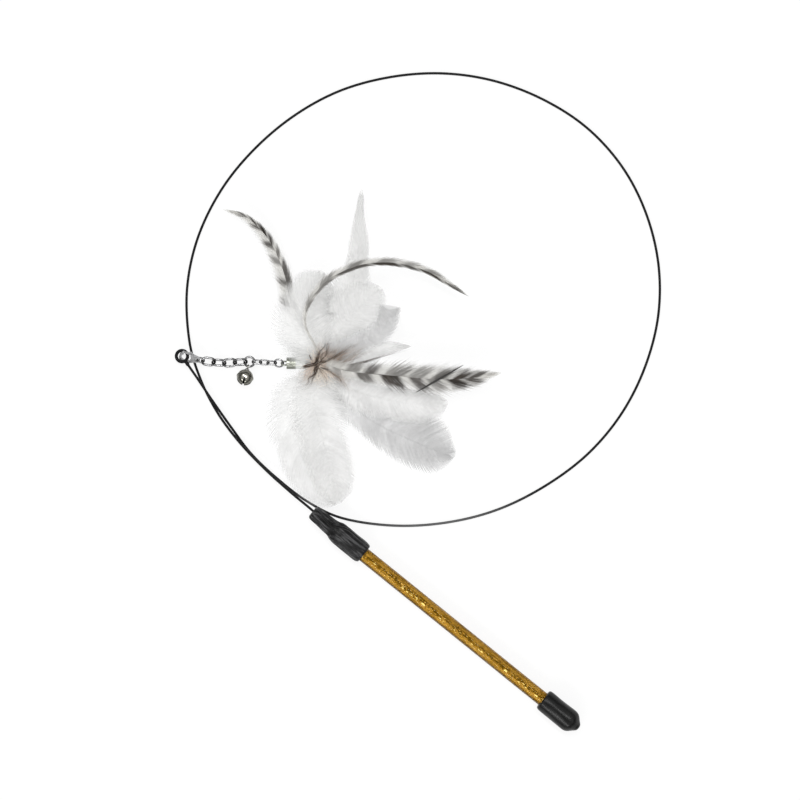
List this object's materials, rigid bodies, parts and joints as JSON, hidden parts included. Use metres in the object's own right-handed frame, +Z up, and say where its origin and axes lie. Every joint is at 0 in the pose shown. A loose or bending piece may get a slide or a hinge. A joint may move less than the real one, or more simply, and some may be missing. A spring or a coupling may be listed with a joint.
{
  "type": "cat teaser wand",
  "caption": "tube handle with a long looped spring wire, and a lobster clasp that carries a chain, a jingle bell and a bound head of white and barred feathers",
  "frame": {"origin": "middle of the footprint of everything but the free wire and its eye, on the surface that the wand lies on", "axes": "+Y along the handle from its butt to its boot, +Z up from the surface, +X to the side that the wire's ring lies on"},
  "size_m": [0.266, 0.3394, 0.0182],
  "materials": {
    "clear_tube": "clear, glossy",
    "gold_glitter_film": "gold glitter film",
    "black_vinyl_cap": "glossy black vinyl",
    "black_vinyl_boot": "satin black vinyl",
    "plug_plastic": "matte",
    "bare_spring_wire": "bare steel",
    "brass_crimp": "crimped brass",
    "coated_wire": "black nylon coat",
    "clasp_metal": "bright nickel plate",
    "chain_metal": "nickel plate",
    "bell_metal": "pale plated steel",
    "pellet_steel": "plain steel",
    "clear_glue": "clear set glue",
    "black_thread": "waxed thread",
    "white_plume": "white down",
    "grey_white_plume": "greyish white down",
    "barred_hackle": "grey barred feather",
    "dark_biot": "single dark barb",
    "brown_fluff": "brown fluffy barbs"
  },
  "bodies": {
    "handle": {"handle_tube": "clear_tube", "glitter_film": "gold_glitter_film", "end_cap": "black_vinyl_cap", "wire_boot": "black_vinyl_boot", "tube_plug": "plug_plastic", "wire_tang": "bare_spring_wire", "tang_stop": "brass_crimp", "wand_wire": "coated_wire", "wire_eye": "coated_wire"},
    "clasp": {"clasp_body": "clasp_metal", "clasp_pin": "clasp_metal", "clasp_spring": "clasp_metal"},
    "gate": {"clasp_lever": "clasp_metal"},
    "clasp_ring": {"clasp_ring": "chain_metal"},
    "chain_link_1": {"chain_link_1": "chain_metal"},
    "chain_link_2": {"chain_link_2": "chain_metal"},
    "chain_link_3": {"chain_link_3": "chain_metal"},
    "chain_link_4": {"chain_link_4": "chain_metal"},
    "bell_link": {"bell_link": "chain_metal"},
    "small_link_1": {"small_link_1": "chain_metal"},
    "small_link_2": {"small_link_2": "chain_metal"},
    "small_link_3": {"small_link_3": "chain_metal"},
    "head_ring": {"head_ring": "chain_metal"},
    "bell_ring": {"bell_ring": "chain_metal"},
    "bell": {"bell_upper_cup": "bell_metal", "bell_lower_cup": "bell_metal"},
    "bell_pellet": {"bell_pellet": "pellet_steel"},
    "head": {"head_ferrule": "chain_metal", "glue_sleeve": "clear_glue", "binding_thread": "black_thread", "plume_low_outer": "white_plume", "plume_low_inner": "white_plume", "plume_right_low": "grey_white_plume", "plume_right_high": "white_plume", "plume_spike": "white_plume", "plume_top_left": "white_plume", "plume_top_right": "white_plume", "plume_square": "grey_white_plume", "plume_small": "white_plume", "barred_feather_left": "barred_hackle", "barred_feather_arch": "barred_hackle", "barred_feather_front": "barred_hackle", "dark_biot": "dark_biot", "brown_fluff": "brown_fluff"}
  },
  "joints": [
    {"name": "clasp_swing", "type": "hinge", "parent": "handle", "child": "clasp", "pos_m": [-0.05246, 0.1323, 0.0045], "axis": [0, 0, 1], "range_deg": [0, 20]},
    {"name": "gate_open", "type": "hinge", "parent": "clasp", "child": "gate", "pos_m": [-0.0484, 0.1284, 0.00605], "axis": [-0.5727, -0.2918, 0.766], "range_deg": [0, 8], "stiffness_Nm_per_rad": 0.002, "springref_deg": -8.59},
    {"name": "clasp_ring_swing", "type": "hinge", "parent": "clasp", "child": "clasp_ring", "pos_m": [-0.04858, 0.12468, 0.0045], "axis": [0, 0, 1], "range_deg": [0, 6]},
    {"name": "chain_link_1_swing", "type": "hinge", "parent": "clasp_ring", "child": "chain_link_1", "pos_m": [-0.04682, 0.12122, 0.00416], "axis": [0, 0, 1], "range_deg": [0, 8]},
    {"name": "chain_link_2_swing", "type": "hinge", "parent": "chain_link_1", "child": "chain_link_2", "pos_m": [-0.04387, 0.11611, 0.00301], "axis": [0, 0, 1], "range_deg": [0, 6]},
    {"name": "chain_link_3_swing", "type": "hinge", "parent": "chain_link_2", "child": "chain_link_3", "pos_m": [-0.04043, 0.11138, 0.00281], "axis": [0, 0, 1], "range_deg": [0, 8]},
    {"name": "chain_link_4_swing", "type": "hinge", "parent": "chain_link_3", "child": "chain_link_4", "pos_m": [-0.03643, 0.10709, 0.00281], "axis": [0, 0, 1], "range_deg": [0, 8]},
    {"name": "bell_link_swing", "type": "hinge", "parent": "chain_link_4", "child": "bell_link", "pos_m": [-0.03251, 0.10273, 0.00281], "axis": [0, 0, 1], "range_deg": [0, 8]},
    {"name": "small_link_1_swing", "type": "hinge", "parent": "bell_link", "child": "small_link_1", "pos_m": [-0.02989, 0.09938, 0.00281], "axis": [0, 0, 1], "range_deg": [0, 8]},
    {"name": "small_link_2_swing", "type": "hinge", "parent": "small_link_1", "child": "small_link_2", "pos_m": [-0.02759, 0.09622, 0.00295], "axis": [0, 0, 1], "range_deg": [0, 8]},
    {"name": "small_link_3_swing", "type": "hinge", "parent": "small_link_2", "child": "small_link_3", "pos_m": [-0.02526, 0.0929, 0.00316], "axis": [0, 0, 1], "range_deg": [0, 8]},
    {"name": "head_ring_swing", "type": "hinge", "parent": "small_link_3", "child": "head_ring", "pos_m": [-0.02289, 0.08962, 0.00351], "axis": [0, 0, 1], "range_deg": [0, 8]},
    {"name": "head_swing", "type": "hinge", "parent": "head_ring", "child": "head", "pos_m": [-0.02058, 0.08656, 0.00392], "axis": [0, 0, 1], "range_deg": [0, 8]},
    {"name": "bell_ring_lift", "type": "hinge", "parent": "bell_link", "child": "bell_ring", "pos_m": [-0.03406, 0.10059, 0.00188], "axis": [-0.403, 0.9109, 0.0885], "range_deg": [0, 20]},
    {"name": "bell_swing", "type": "hinge", "parent": "bell_ring", "child": "bell", "pos_m": [-0.03564, 0.09989, 0.00269], "axis": [-0.3861, -0.1719, -0.9063], "range_deg": [-12, 12]},
    {"name": "pellet_roll", "type": "hinge", "parent": "bell", "child": "bell_pellet", "pos_m": [-0.03981, 0.09803, 0.00482], "axis": [0.4067, -0.9135, 0], "range_deg": [-40, 40]}
  ]
}
